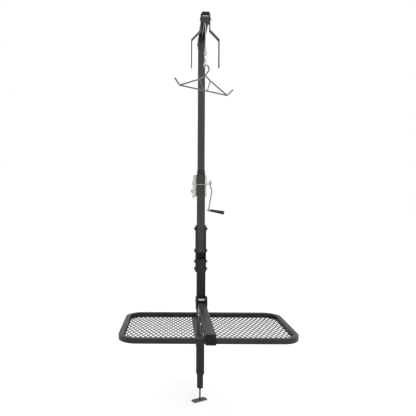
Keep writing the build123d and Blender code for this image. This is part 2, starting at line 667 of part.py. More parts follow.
def build_mid_mast():
    mast = tube_z(TUBE, MID_WALL, MID_BOTTOM, MID_TOP)
    mast -= rod_x(BIG_BOLT_R + RUN_FIT, -TUBE, TUBE, 0, FOLD_Z)
    mast -= rod_x(BIG_BOLT_R + BOLT_FIT, -TUBE, TUBE, 0, LOCK_Z)
    save("mid_mast", mast)

    bore = UPPER_TUBE + 2 * SLIDE_FIT
    top = MID_TOP + MAST_COLLAR_HEIGHT
    bolt_z = MID_TOP + MAST_COLLAR_HEIGHT * 0.36
    bolt_x_at = UPPER_TUBE * 0.29
    collar = tapered_guide(MID_TOP, top, TUBE, bore + 2 * MAST_COLLAR_LIP, bore)
    collar -= rod_y(SMALL_BOLT_R + RUN_FIT, -TUBE, -bore / 2 + 1, bolt_x_at, bolt_z)
    save("mast_collar", collar)
    tip = -UPPER_TUBE / 2 - NEAR
    screw = rod_y(SMALL_BOLT_R, -HALF - 4, tip, bolt_x_at, bolt_z)
    head_plane = Plane(origin=(bolt_x_at, -HALF - 4, bolt_z), x_dir=(1, 0, 0), z_dir=(0, -1, 0))
    hexagon = RegularPolygon(SMALL_HEAD / 2, 6, major_radius=False)
    save("collar_lock_screw", screw + extrude(head_plane * hexagon, SMALL_HEAD_HIGH))


# ---------------------------------------------------------------- winch
def involute_gear(teeth, first):
    """A spur gear's side view, with one tooth centred at the angle given."""
    pitch_r = MODULE * teeth / 2
    base_r = pitch_r * math.cos(PRESSURE)
    tip_r = pitch_r + MODULE
    root_r = pitch_r - 1.25 * MODULE
    half = math.pi / 2 / teeth - BACKLASH / 4 / pitch_r

    def roll(radius):
        angle = math.acos(min(base_r / radius, 1.0))
        return math.tan(angle) - angle

    start = max(base_r, root_r)
    radii = [start + (tip_r - start) * step / 4 for step in range(5)]
    points = []
    for tooth in range(teeth):
        centre = first + 2 * math.pi * tooth / teeth
        flank = [(r, half + roll(pitch_r) - roll(r)) for r in radii]
        if root_r < start:
            flank.insert(0, (root_r, flank[0][1]))
        rising = [(r, centre - a) for r, a in flank]
        falling = [(r, centre + a) for r, a in reversed(flank)]
        points += [(r * math.cos(a), r * math.sin(a)) for r, a in rising + falling]
    return outline_of(points)


def ratchet_face(first):
    """A notched wheel's side view, with one notch centred at the angle given."""
    wheel = Circle(RATCHET_R)
    for notch in range(RATCHET_TEETH):
        turn = Rot(0, 0, first + 360 * notch / RATCHET_TEETH)
        wheel -= turn * Pos(RATCHET_R, 0) * Rectangle(2 * NOTCH_DEEP, NOTCH_WIDE)
    return wheel


def build_bracket():
    bracket = block(-BRACKET_OUT, BRACKET_OUT, BRACKET_FRONT, BRACKET_OUT, BRACKET_BOTTOM, MID_TOP)
    bracket -= block(
        -BRACKET_IN, TUBE, BRACKET_FRONT - 1, BRACKET_IN, BRACKET_BOTTOM - 1, MID_TOP + 1
    )
    front = bracket.edges().filter_by(Axis.X).filter_by(lambda e: e.center().Y < BRACKET_FRONT + 1)
    bracket = chamfer(front, BRACKET_CHAMFER)
    room = U_BOLT_R + BOLT_FIT
    bracket -= block(-TUBE, -BRACKET_IN, BRACKET_FRONT - 1, BRACKET_IN, U_BOLT_Z - room, U_BOLT_Z + room)
    for x in (-U_BOLT_X, U_BOLT_X):
        bracket -= rod_y(room, BRACKET_IN - 1, BRACKET_OUT + 1, x, U_BOLT_Z)
    holes = [(x, z) for x in (-14.0, 14.0) for z in (WINCH_BOTTOM + 24, MID_TOP - 14)]
    for x, z in holes:
        bracket -= rod_y(SMALL_BOLT_R + RUN_FIT, BRACKET_IN - 1, BRACKET_OUT + 1, x, z)
    save("winch_bracket", bracket)
    front_y = -HALF - NEAR - U_BOLT_R
    route = [(-U_BOLT_X, BASE_BACK), (-U_BOLT_X, front_y), (U_BOLT_X, front_y), (U_BOLT_X, BASE_BACK)]
    save("bracket_rod", bent_rod([(x, y, U_BOLT_Z) for x, y in route], U_BOLT_BEND, U_BOLT_R))

    bolts = []
    for x, z in holes:
        head_plane = Plane(origin=(x, BASE_BACK, z), x_dir=(1, 0, 0), z_dir=(0, 1, 0))
        hexagon = RegularPolygon(SMALL_HEAD / 2, 6, major_radius=False)
        head = extrude(head_plane * hexagon, SMALL_HEAD_HIGH)
        bolts.append(head + rod_y(SMALL_BOLT_R, BRACKET_IN, BASE_BACK + 0.01, x, z))
    save("winch_mount_bolts", Compound(children=bolts))
    return holes


def pawl_points():
    """Crank shaft's centre, pawl pin's, and the engaged pawl's two directions, in the YZ plane."""
    angle = math.radians(PAWL_ANGLE)
    out = Vector(math.cos(angle), math.sin(angle))
    along = Vector(-math.sin(angle), math.cos(angle))
    shaft = Vector(CRANK_Y, CRANK_Z)
    return shaft, shaft + out * PAWL_REACH + along * PAWL_ARM


def build_winch(mount_holes):
    back = BASE_BACK + WINCH_DEEP
    side = outline_of([
        (BRACKET_OUT, WINCH_BOTTOM),
        (back - 46, WINCH_BOTTOM),
        (back, DRUM_Z + 4),
        (back, MID_TOP - 22),
        (back - 24, MID_TOP),
        (BRACKET_OUT, MID_TOP),
    ])
    side = fillet(side.vertices().filter_by(lambda v: v.X > BRACKET_OUT + 1), 8)
    frame = extrude(side_plane(LEFT_OUT) * side, RIGHT_OUT - LEFT_OUT)
    frame -= block(WINCH_LEFT, WINCH_RIGHT, BASE_BACK, back + 1, WINCH_BOTTOM - 1, MID_TOP + 1)
    frame += block(BASE_LEFT, BASE_RIGHT, BRACKET_OUT, BASE_BACK, WINCH_BOTTOM, MID_TOP)
    for x in (-U_BOLT_X, U_BOLT_X):
        frame -= rod_y(U_BOLT_R + RUN_FIT, BRACKET_OUT - 1, BASE_BACK + 1, x, U_BOLT_Z)
    frame -= rod_x(DRUM_SHAFT_R + RUN_FIT, -TUBE, TUBE, DRUM_Y, DRUM_Z)
    frame -= rod_x(SHAFT_R + RUN_FIT, -TUBE, TUBE, CRANK_Y, CRANK_Z)
    for x, z in mount_holes:
        frame -= rod_y(SMALL_BOLT_R + RUN_FIT, BRACKET_OUT - 1, BASE_BACK + 1, x, z)
    ties = [(back - 14, DRUM_Z + 12), (BASE_BACK + 16, MID_TOP - 10)]
    shaft, pawl = pawl_points()
    for y, z in ties:
        frame -= rod_x(SMALL_BOLT_R + RUN_FIT, -TUBE, TUBE, y, z)
    frame -= rod_x(PAWL_PIN_R + RUN_FIT, 0, TUBE, pawl.X, pawl.Y)
    save("winch_frame", frame)

    tie_rods = []
    for y, z in ties:
        middle = rod_x(SMALL_BOLT_R + 2, WINCH_LEFT, WINCH_RIGHT, y, z)
        through = rod_x(SMALL_BOLT_R, LEFT_OUT - 2, RIGHT_OUT, y, z)
        rivet = rod_x(SMALL_BOLT_R + 2, LEFT_OUT - 3, LEFT_OUT, y, z)
        tie_rods.append(middle + through + rivet)
    wheel_left = RIGHT_OUT + 1.0
    head_x = wheel_left + RATCHET_FACE + NEAR
    pin = rod_x(PAWL_PIN_R, WINCH_RIGHT, head_x, pawl.X, pawl.Y)
    pin += rod_x(PAWL_PIN_R + 2, head_x, head_x + 2, pawl.X, pawl.Y)
    save("winch_tie_rods", Compound(children=[*tie_rods, pin]))

    left = WINCH_LEFT + DRUM_SIDE_GAP
    right = WINCH_RIGHT - DRUM_SIDE_GAP
    drum = rod_x(DRUM_HUB_R, left, right, DRUM_Y, DRUM_Z)
    drum += rod_x(DRUM_FLANGE_R, left, left + DRUM_FLANGE, DRUM_Y, DRUM_Z)
    drum += rod_x(DRUM_FLANGE_R, right - DRUM_FLANGE, right, DRUM_Y, DRUM_Z)
    bore = rod_x(DRUM_SHAFT_R + RUN_FIT, -2 * TUBE, 2 * TUBE, DRUM_Y, DRUM_Z)
    save("drum", drum - bore)
    wrap = rod_x(WRAP_R, left + DRUM_FLANGE, right - DRUM_FLANGE, DRUM_Y, DRUM_Z)
    save("cable_wrap", wrap - rod_x(DRUM_HUB_R, left, right, DRUM_Y, DRUM_Z))
    drum_shaft = rod_x(DRUM_SHAFT_R, GEAR_LEFT - 12, RIGHT_OUT + 3, DRUM_Y, DRUM_Z)
    drum_nut = hex_x(BIG_HEAD + 4, GEAR_LEFT - 8, GEAR_LEFT, DRUM_Y, DRUM_Z) - bore
    save("drum_shaft", Compound(children=[drum_shaft, drum_nut]))

    mesh_angle = math.atan2(CRANK_Z - DRUM_Z, CRANK_Y - DRUM_Y)
    gear = extrude(side_plane(GEAR_LEFT, DRUM_Y, DRUM_Z) * involute_gear(GEAR_TEETH, mesh_angle), GEAR_FACE)
    gear += rod_x(DRUM_HUB_R, GEAR_RIGHT - 0.01, LEFT_OUT - NEAR, DRUM_Y, DRUM_Z)
    save("drum_gear", gear - bore)
    gap_angle = mesh_angle + math.pi + math.pi / PINION_TEETH
    plane = side_plane(GEAR_LEFT, CRANK_Y, CRANK_Z)
    pinion = extrude(plane * involute_gear(PINION_TEETH, gap_angle), GEAR_FACE)
    shaft_bore = rod_x(SHAFT_R + RUN_FIT, -2 * TUBE, 2 * TUBE, CRANK_Y, CRANK_Z)
    save("pinion", pinion - shaft_bore)
    shaft_end = CRANK_X + CRANK_FLAT / 2
    save("crank_shaft", rod_x(SHAFT_R, GEAR_LEFT - 3, shaft_end + 9, CRANK_Y, CRANK_Z))

    wheel = extrude(side_plane(wheel_left, CRANK_Y, CRANK_Z) * ratchet_face(PAWL_ANGLE), RATCHET_FACE)
    save("ratchet_wheel", wheel - shaft_bore)
    spacer = rod_x(SHAFT_R + 4, wheel_left + RATCHET_FACE, CRANK_X - CRANK_FLAT / 2, CRANK_Y, CRANK_Z)
    crank_nut = hex_x(BIG_HEAD, shaft_end, shaft_end + 7, CRANK_Y, CRANK_Z)
    save("crank_spacer_and_nut", Compound(children=[spacer - shaft_bore, crank_nut - shaft_bore]))

    angle = math.radians(PAWL_ANGLE)
    out = Vector(math.cos(angle), math.sin(angle))
    local = Plane(origin=(wheel_left, pawl.X, pawl.Y), x_dir=(0, math.sin(angle), -math.cos(angle)),
                  z_dir=(1, 0, 0))
    arm = Pos(PAWL_ARM / 2, 0) * Rectangle(PAWL_ARM + PAWL_TOOTH, PAWL_WIDE)
    deep = PAWL_REACH - RATCHET_R + NOTCH_DEEP - 1.5
    tooth_low = local.to_local_coords(Vector(wheel_left, shaft.X, shaft.Y)).Y
    toward = -1 if tooth_low < 0 else 1
    tooth = Pos(PAWL_ARM, toward * deep / 2) * Rectangle(PAWL_TOOTH, deep)
    face = arm + tooth + Circle(PAWL_WIDE)
    body = extrude(local * face, RATCHET_FACE)
    body -= rod_x(PAWL_PIN_R + RUN_FIT, 0, TUBE, pawl.X, pawl.Y)
    lift = Axis((0, pawl.X, pawl.Y), (1, 0, 0))
    save("ratchet_pawl", body.rotate(lift, PAWL_LIFT))


def build_crank():
    points = [
        (CRANK_X, CRANK_Z + CRANK_ABOVE),
        (CRANK_X, CRANK_Z - CRANK_STRAIGHT),
        (CRANK_X + CRANK_KNEE_OUT, CRANK_Z - CRANK_KNEE_DROP),
        (CRANK_X - CRANK_END_IN, CRANK_Z - CRANK_END_DROP),
    ]
    plane = Plane(origin=(0, CRANK_Y + CRANK_WIDE / 2, 0), x_dir=(1, 0, 0), z_dir=(0, -1, 0))
    arm = extrude(plane * strip(points, CRANK_FLAT), CRANK_WIDE)
    arm -= rod_x(SHAFT_R + RUN_FIT, CRANK_X - 10, CRANK_X + 10, CRANK_Y, CRANK_Z)
    down = (Vector(points[3][0], 0, points[3][1]) - Vector(points[2][0], 0, points[2][1])).normalized()
    along = Vector(-down.Z, 0, down.X)
    seat = Vector(points[3][0], CRANK_Y, points[3][1]) - down * CRANK_END_EDGE
    stud_plane = Plane(origin=seat, x_dir=(0, 1, 0), z_dir=along)
    grip_from = CRANK_FLAT / 2 + STUD_NUT_HIGH + NEAR

    def turned(radius, start, length):
        return extrude(stud_plane.offset(start) * Circle(radius), length)

    arm -= turned(STUD_R + RUN_FIT, -2 * CRANK_FLAT, 4 * CRANK_FLAT)
    save("crank_arm", arm)
    stud = turned(STUD_R, -CRANK_FLAT / 2, grip_from + GRIP_LONG + STUD_R)
    stud += turned(STUD_HEAD_R, -CRANK_FLAT / 2 - STUD_HEAD_LONG, STUD_HEAD_LONG)
    hexagon = RegularPolygon(STUD_NUT / 2, 6, major_radius=False)
    nut = extrude(stud_plane.offset(CRANK_FLAT / 2) * hexagon, STUD_NUT_HIGH)
    nut -= turned(STUD_R + RUN_FIT, 0, grip_from)
    save("grip_stud", Compound(children=[stud, nut]))
    grip = loft([
        (stud_plane.offset(grip_from) * Circle(GRIP_THIN_R)).face(),
        (stud_plane.offset(grip_from + GRIP_LONG) * Circle(GRIP_THICK_R)).face(),
    ])
    save("crank_grip", grip - turned(STUD_R + 2 * RUN_FIT, 0, grip_from + GRIP_LONG + STUD_R))


# ---------------------------------------------------------------- upper mast, boom and sheaves
def sheave(y):
    """A grooved wheel whose groove holds the cable's underside."""
    outer = SHEAVE_R + SHEAVE_LIP
    groove = SHEAVE_R - CABLE_R - NEAR
    half = SHEAVE_WIDE / 2
    lip = 2.0
    throat = CABLE_R + 1.2
    profile = outline_of([
        (AXLE_R + RUN_FIT, -half),
        (outer, -half),
        (outer, -half + lip),
        (groove, -throat),
        (groove, throat),
        (outer, half - lip),
        (outer, half),
        (AXLE_R + RUN_FIT, half),
    ])
    plane = Plane(origin=(0, y, SHEAVE_Z), x_dir=(0, 0, 1), z_dir=(0, 1, 0))
    return revolve(plane * profile, Axis((0, y, SHEAVE_Z), (1, 0, 0)))


def build_upper():
    bottom = MID_TOP - UPPER_INSIDE
    save("upper_mast", tube_z(UPPER_TUBE, UPPER_WALL, bottom, BOOM_BOTTOM))

    top = BOOM_BOTTOM + BOOM_TALL
    inside = BOOM_HALF - WALL
    boom = block(-BOOM_HALF, BOOM_HALF, BOOM_FRONT, BOOM_BACK, BOOM_BOTTOM, top)
    boom = fillet(boom.edges().filter_by(Axis.Y).filter_by(lambda e: e.center().Z > top - 1), TUBE_CORNER)
    cheek_low = SHEAVE_Z - CHEEK_DROP
    rear = (REAR_SHEAVE_Y - CHEEK_HALF, REAR_SHEAVE_Y + CHEEK_HALF)
    cheeks = block(-BOOM_HALF, BOOM_HALF, *rear, cheek_low, BOOM_BOTTOM + WALL)
    cheeks = fillet(
        cheeks.edges().filter_by(Axis.X).filter_by(lambda e: e.center().Z < cheek_low + 1), CHEEK_ROUND
    )
    boom += cheeks
    nose_low = SHEAVE_Z - NOSE_DROP
    nose = block(-BOOM_HALF, BOOM_HALF, BOOM_FRONT, FRONT_SHEAVE_Y + NOSE_BACK, nose_low, BOOM_BOTTOM + WALL)
    boom += fillet(
        nose.edges().filter_by(Axis.X).filter_by(
            lambda e: e.center().Z < nose_low + 1 and e.center().Y > FRONT_SHEAVE_Y
        ), CHEEK_ROUND
    )
    boom -= block(-inside, inside, BOOM_FRONT - 1, BOOM_BACK + 1, cheek_low - 1, top - WALL)
    front = (BOOM_FRONT, BOOM_FRONT + NOSE_PLATE)
    boom += block(-inside, inside, *front, nose_low, SHEAVE_Z + NOSE_GAP)
    for axle_y in (FRONT_SHEAVE_Y, REAR_SHEAVE_Y):
        boom -= rod_x(AXLE_R + RUN_FIT, -TUBE, TUBE, axle_y, SHEAVE_Z)
    boom -= rod_x(KEEPER_R + RUN_FIT, -TUBE, TUBE, KEEPER_Y, KEEPER_Z)
    save("boom", boom)

    fork_out = BOOM_HALF + FORK_FLAT
    side = BOOM_HALF + FORK_FLAT / 2
    spread = FORK_SPREAD + FORK_FLAT / 2
    fork_top = SHEAVE_Z + FORK_ABOVE
    points = [(side, fork_top), (side, FORK_KNEE_TOP), (spread, FORK_KNEE_LOW), (spread, FORK_BOTTOM)]
    plane = Plane(origin=(0, FRONT_SHEAVE_Y + FORK_WIDE / 2, 0), x_dir=(1, 0, 0), z_dir=(0, -1, 0))
    fork = extrude(plane * strip(points, FORK_FLAT), FORK_WIDE)
    corners = fork.edges().filter_by(Axis.X).filter_by(lambda e: e.center().Z > fork_top - 1)
    fork = fillet(corners, FORK_ROUND)
    fork -= rod_x(AXLE_R + RUN_FIT, 0, 2 * TUBE, FRONT_SHEAVE_Y, SHEAVE_Z)
    save("fork_bars", Compound(children=[fork, mirror(fork, about=Plane.YZ)]))

    axles = []
    wheel = SHEAVE_WIDE / 2 + NEAR
    for y, out in ((FRONT_SHEAVE_Y, fork_out), (REAR_SHEAVE_Y, BOOM_HALF)):
        end = out + AXLE_HEAD_HIGH + 2
        bolt = bolt_x(AXLE_R, AXLE_HEAD, AXLE_HEAD_HIGH, -out, end, y, SHEAVE_Z)
        bolt += rod_x(AXLE_SPACER_R, -inside, -wheel, y, SHEAVE_Z)
        bolt += rod_x(AXLE_SPACER_R, wheel, inside, y, SHEAVE_Z)
        axles.append(bolt)
        axles.append(nut_x(AXLE_R, AXLE_HEAD, AXLE_HEAD_HIGH, out, y, SHEAVE_Z))
    save("sheave_axles", Compound(children=axles))
    save("cable_keeper", rod_x(KEEPER_R, -BOOM_HALF, BOOM_HALF, KEEPER_Y, KEEPER_Z))
    save("front_sheave", sheave(FRONT_SHEAVE_Y))
    save("rear_sheave", sheave(REAR_SHEAVE_Y))


def build_cable():
    run = bent_rod(
        [(0, RISER_Y, SHEAVE_Z), (0, RISER_Y, CABLE_TOP), (0, DROP_Y, CABLE_TOP), (0, DROP_Y, SHEAVE_Z)],
        SHEAVE_R - 0.001,
        CABLE_R,
    )
    save("cable_boom_run", run)
    save("cable_riser", rod_z(CABLE_R, DRUM_Z, SHEAVE_Z, 0, RISER_Y))
    save("cable_drop", rod_z(CABLE_R, FERRULE_TOP, SHEAVE_Z, 0, DROP_Y))


# ---------------------------------------------------------------- hook and gambrel
def upright(path_points, radii, radius):
    """A bent round rod drawn in the XZ plane."""
    return bent_rod([(x, 0, z) for x, z in path_points], radii, radius)


def build_hook():
    eye = Pos(0, 0, EYE_Z) * Rot(90, 0, 0) * Torus(EYE_R, EYE_ROD_R)
    ferrule = rod_z(FERRULE_R, EYE_Z + EYE_R, FERRULE_TOP)
    across = Pos(0, DROP_Y, 0) * Rot(0, 0, GAMBREL_YAW)
    save("cable_eye", across * (ferrule + eye))

    link_r = LINK_ROD_R
    link_z = EYE_Z - EYE_R + EYE_ROD_R + link_r + NEAR - LINK_R
    barrel_top = link_z - LINK_R
    link = Pos(0, 0, link_z) * Rot(90, 0, 0) * Torus(LINK_R, link_r)
    barrel = rod_z(SWIVEL_R, barrel_top - SWIVEL_LONG, barrel_top)
    barrel -= rod_z(STEM_R + NEAR, barrel_top - SWIVEL_LONG - 1, barrel_top - 3)
    along = Pos(0, DROP_Y, 0) * Rot(0, 0, GAMBREL_YAW + 90)
    save("hook_swivel", along * (link + barrel))

    side = HOOK_BEND_R
    low = barrel_top - SWIVEL_LONG
    knee = low - 15
    route = [(0, low - 1), (0, low - 6), (-side, knee), (-side, HOOK_LOW), (side, HOOK_LOW),
             (side, HOOK_LOW + 19)]
    hook = upright(route, [3, 6, side - 0.1, side - 0.1], HOOK_ROD_R)
    hook += rod_z(STEM_R, low - 2, barrel_top - 3 - NEAR)
    pivot_x = side / 2
    pivot_z = knee + 6
    for y0 in (-4.0, 2.6):
        hook += block(-2, pivot_x + 2.4, y0, y0 + 1.4, pivot_z - 2.4, pivot_z + 4)
    hook += rod_y(GATE_PIN_R, -3.5, 3.5, pivot_x, pivot_z)
    save("snap_hook", along * hook)
    tip = Vector(side - 0.5, 0, HOOK_LOW + 19 + 1.2)
    start = Vector(pivot_x, 0, pivot_z)
    direction = (tip - start).normalized()
    gate = extrude(Plane(origin=start, z_dir=direction) * Circle(GATE_R), (tip - start).length)
    gate += rod_y(GATE_R + 0.6, -2.4, 2.4, pivot_x, pivot_z)
    gate -= rod_y(GATE_PIN_R + RUN_FIT, -5, 5, pivot_x, pivot_z)
    save("hook_gate", along * gate)


def build_gambrel():
    r = GAMBREL_ROD_R
    top = HOOK_LOW + HOOK_ROD_R + r + NEAR

    def above(point):
        return (point[0], GAMBREL_LOW + point[1])

    def start_of_rod(corner, joint):
        way = (Vector(*joint) - Vector(*corner)).normalized() * r
        return (corner[0] + way.X, corner[1] + way.Y)

    left = (GAMBREL_LEFT, GAMBREL_LOW)
    right = (GAMBREL_RIGHT, GAMBREL_LOW)
    ends = (above(GAMBREL_LEFT_TIP), left, right, above(GAMBREL_RIGHT_TIP))
    bar = upright(ends, GAMBREL_BEND, r)
    loop = [
        start_of_rod(left, above(GAMBREL_LEFT_JOINT)),
        above(GAMBREL_LEFT_JOINT),
        above(GAMBREL_CROSS),
        above(GAMBREL_LOOP_OUT),
        (GAMBREL_LOOP_TOP, top),
        (GAMBREL_LOOP_END, top),
    ]
    bends = [GAMBREL_EASY_BEND, GAMBREL_EASY_BEND, GAMBREL_BEND, GAMBREL_LOOP_BEND]
    gambrel = bar + upright(loop, bends, r)
    joint = above(GAMBREL_RIGHT_JOINT)
    short = [start_of_rod(right, joint), joint, above(GAMBREL_RIGHT_END)]
    gambrel += upright(short, GAMBREL_EASY_BEND, r)
    for joint, foot in zip((GAMBREL_LEFT_JOINT, GAMBREL_RIGHT_JOINT), GAMBREL_BRACE_FEET):
        start = Vector(joint[0], 0, GAMBREL_LOW + joint[1])
        run = Vector(foot, 0, GAMBREL_LOW) - start
        gambrel += extrude(Plane(origin=start, z_dir=run) * Circle(r - 1), run.length)
    save("gambrel", Pos(0, DROP_Y, 0) * Rot(0, 0, GAMBREL_YAW) * gambrel)


def main():
    os.makedirs("parts", exist_ok=True)
    build_post()
    build_leg()
    build_hinge()
    build_platform()
    build_splice()
    build_mid_mast()
    build_winch(build_bracket())
    build_crank()
    build_upper()
    build_cable()
    build_hook()
    build_gambrel()


main()
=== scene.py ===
"""Looks for a hitch-mounted game hoist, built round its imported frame."""

import json
import math
import random

import bmesh
import bpy
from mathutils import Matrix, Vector


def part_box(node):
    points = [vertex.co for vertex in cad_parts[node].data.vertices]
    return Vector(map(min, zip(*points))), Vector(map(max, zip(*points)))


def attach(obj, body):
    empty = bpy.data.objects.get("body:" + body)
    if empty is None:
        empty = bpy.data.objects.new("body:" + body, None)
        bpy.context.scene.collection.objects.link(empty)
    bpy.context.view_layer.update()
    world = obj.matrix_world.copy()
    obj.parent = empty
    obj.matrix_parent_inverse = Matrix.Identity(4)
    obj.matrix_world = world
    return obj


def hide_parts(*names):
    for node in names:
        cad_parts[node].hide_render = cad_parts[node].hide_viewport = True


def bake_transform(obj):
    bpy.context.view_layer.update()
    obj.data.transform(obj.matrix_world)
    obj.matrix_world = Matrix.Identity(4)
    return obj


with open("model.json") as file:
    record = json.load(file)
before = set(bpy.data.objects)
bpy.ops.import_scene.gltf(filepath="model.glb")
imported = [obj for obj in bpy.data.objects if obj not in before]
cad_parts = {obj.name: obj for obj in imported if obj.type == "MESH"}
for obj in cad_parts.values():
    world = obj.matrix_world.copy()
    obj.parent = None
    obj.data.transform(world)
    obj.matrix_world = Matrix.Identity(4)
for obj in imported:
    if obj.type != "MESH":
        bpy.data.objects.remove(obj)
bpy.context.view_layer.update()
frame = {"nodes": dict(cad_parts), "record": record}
nodes = frame["nodes"]
rng = random.Random(7)
MM = 0.001

# camera: metres from the mast's axis and from the ground under the foot plate
CAMERA_LEFT = 0.174
CAMERA_FRONT = 2.76
CAMERA_HEIGHT = 1.244
CAMERA_LENS = 36.8
CAMERA_SHIFT = 0.0817
CAMERA_ROLL = -0.28      # degrees
FLOOR_HALF = 14.0
FLOOR_GAP = 0.0005       # keeps the floor clear of the foot plate
KEY_LIGHT = (1.2, -3.4, 3.4)
KEY_SIZE = (2.4, 2.4)
KEY_WATTS = 60
KEY_AIM = 0.7            # above the middle of the post


# ---------------------------------------------------------------- camera, floor and light
def make_camera():
    """Level camera in front of the mast and a little to its left."""
    post_lo, post_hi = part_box("mast_post")
    mast = (post_lo + post_hi) / 2
    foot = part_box("foot_plate")[0].z
    data = bpy.data.cameras.new("camera")
    data.lens = CAMERA_LENS
    data.sensor_width = 36.0
    data.shift_x = CAMERA_SHIFT
    data.clip_end = 50
    cam = bpy.data.objects.new("camera", data)
    cam.location = (mast.x - CAMERA_LEFT, mast.y - CAMERA_FRONT, foot + CAMERA_HEIGHT)
    cam.rotation_euler = (math.radians(90), math.radians(CAMERA_ROLL), 0)
    bpy.context.scene.collection.objects.link(cam)
    bpy.context.scene.camera = cam
    return mast, foot


def area_light(name, at, aim, size, watts, colour=(1, 1, 1)):
    data = bpy.data.lights.new(name, "AREA")
    data.shape = "RECTANGLE"
    data.size, data.size_y = size
    data.energy = watts
    data.color = colour
    lamp = bpy.data.objects.new(name, data)
    lamp.location = at
    lamp.rotation_euler = (Vector(aim) - Vector(at)).to_track_quat("-Z", "Y").to_euler()
    bpy.context.scene.collection.objects.link(lamp)
    return lamp


def make_stage(mast, foot):
    bpy.context.scene.view_settings.view_transform = "Standard"
    world = bpy.data.worlds.new("studio")
    bpy.context.scene.world = world
    world.use_nodes = True
    background = world.node_tree.nodes["Background"]
    background.inputs["Color"].default_value = (1, 1, 1, 1)
    background.inputs["Strength"].default_value = 1.0
    bm = bmesh.new()
    bmesh.ops.create_grid(bm, x_segments=2, y_segments=2, size=FLOOR_HALF)
    data = bpy.data.meshes.new("floor")
    bm.to_mesh(data)
    bm.free()
    floor = bpy.data.objects.new("floor", data)
    floor.location = (mast.x, mast.y, foot - FLOOR_GAP)
    bpy.context.scene.collection.objects.link(floor)
    mat = bpy.data.materials.new("floor_white")
    mat.use_nodes = True
    shader = mat.node_tree.nodes["Principled BSDF"]
    shader.inputs["Base Color"].default_value = (0.95, 0.95, 0.95, 1)
    shader.inputs["Roughness"].default_value = 1.0
    shader.inputs["Specular IOR Level"].default_value = 0.0
    shader.inputs["Emission Color"].default_value = (1, 1, 1, 1)
    shader.inputs["Emission Strength"].default_value = 0.1
    floor.data.materials.append(mat)
    target = mast + Vector((0, 0, KEY_AIM))
    area_light("key", mast + Vector(KEY_LIGHT), target, KEY_SIZE, KEY_WATTS)


mast_at, floor_z = make_camera()
make_stage(mast_at, floor_z)


# ---------------------------------------------------------------- materials
class Nodes:
    """Short way to build a material's node tree."""

    def __init__(self, name):
        self.mat = bpy.data.materials.new(name)
        self.mat.use_nodes = True
        self.tree = self.mat.node_tree
        self.shader = self.tree.nodes["Principled BSDF"]
        self.coords = self.tree.nodes.new("ShaderNodeTexCoord")

    def add(self, kind, values=(), **settings):
        node = self.tree.nodes.new("ShaderNode" + kind)
        for key, value in settings.items():
            setattr(node, key, value)
        for key, value in dict(values).items():
            if isinstance(value, bpy.types.NodeSocket):
                self.tree.links.new(value, node.inputs[key])
            else:
                node.inputs[key].default_value = value
        return node

    def noise(self, scale, detail=3.0, rough=0.55, stretch=(1, 1, 1)):
        mapping = self.add("Mapping", {"Vector": self.coords.outputs["Object"], "Scale": stretch})
        return self.add(
            "TexNoise",
            {"Vector": mapping.outputs["Vector"], "Scale": scale, "Detail": detail, "Roughness": rough},
        ).outputs["Fac"]

    def ramp(self, fac, stops):
        node = self.add("ValToRGB", {"Fac": fac})
        ramp = node.color_ramp
        while len(ramp.elements) < len(stops):
            ramp.elements.new(0.5)
        for element, (at, colour) in zip(ramp.elements, stops):
            element.position = at
            element.color = (*colour, 1) if isinstance(colour, tuple) else (colour, colour, colour, 1)
        return node.outputs["Color"]

    def mix(self, fac, a, b, blend="MIX"):
        node = self.add("Mix", data_type="RGBA", blend_type=blend)
        colours = [s for s in node.inputs if s.type == "RGBA"]
        for socket, value in ((node.inputs[0], fac), (colours[0], a), (colours[1], b)):
            if isinstance(value, bpy.types.NodeSocket):
                self.tree.links.new(value, socket)
            else:
                socket.default_value = value
        return [s for s in node.outputs if s.type == "RGBA"][0]

    def set(self, **values):
        for key, value in values.items():
            socket = self.shader.inputs[key.replace("_", " ")]
            if isinstance(value, bpy.types.NodeSocket):
                self.tree.links.new(value, socket)
            else:
                socket.default_value = value

    def bump(self, height, strength, distance, below=None):
        values = {"Height": height, "Strength": strength, "Distance": distance}
        if below:
            values["Normal"] = below
        return self.add("Bump", values).outputs["Normal"]


def grey(value):
    return (value, value, value)


def powder_coat(name, dark, light, rough=0.42, peel=0.3, shine=0.3):
    """Satin powder coat: orange peel, soft tone changes, dust specks and fine rubbed marks."""
    n = Nodes(name)
    colour = n.ramp(n.noise(7, 4, 0.6), [(0.32, grey(dark)), (0.72, grey(light))])
    dusty = n.ramp(n.noise(420, 3, 0.7), [(0.66, 0.0), (0.8, 0.6)])
    colour = n.mix(dusty, colour, (light * 2.2, light * 2.2, light * 2.1, 1))
    rubbed = n.ramp(n.noise(60, 6, 0.75, (1, 1, 0.15)), [(0.68, 0.0), (0.74, 0.35)])
    colour = n.mix(rubbed, colour, (light * 3, light * 3, light * 2.9, 1))
    n.set(Base_Color=colour)
    n.set(Roughness=n.ramp(n.noise(30, 3), [(0.3, rough - 0.05), (0.7, rough + 0.08)]))
    n.set(Normal=n.bump(n.noise(1300, 2, 0.5), peel, 0.0002), Specular_IOR_Level=shine)
    return n.mat


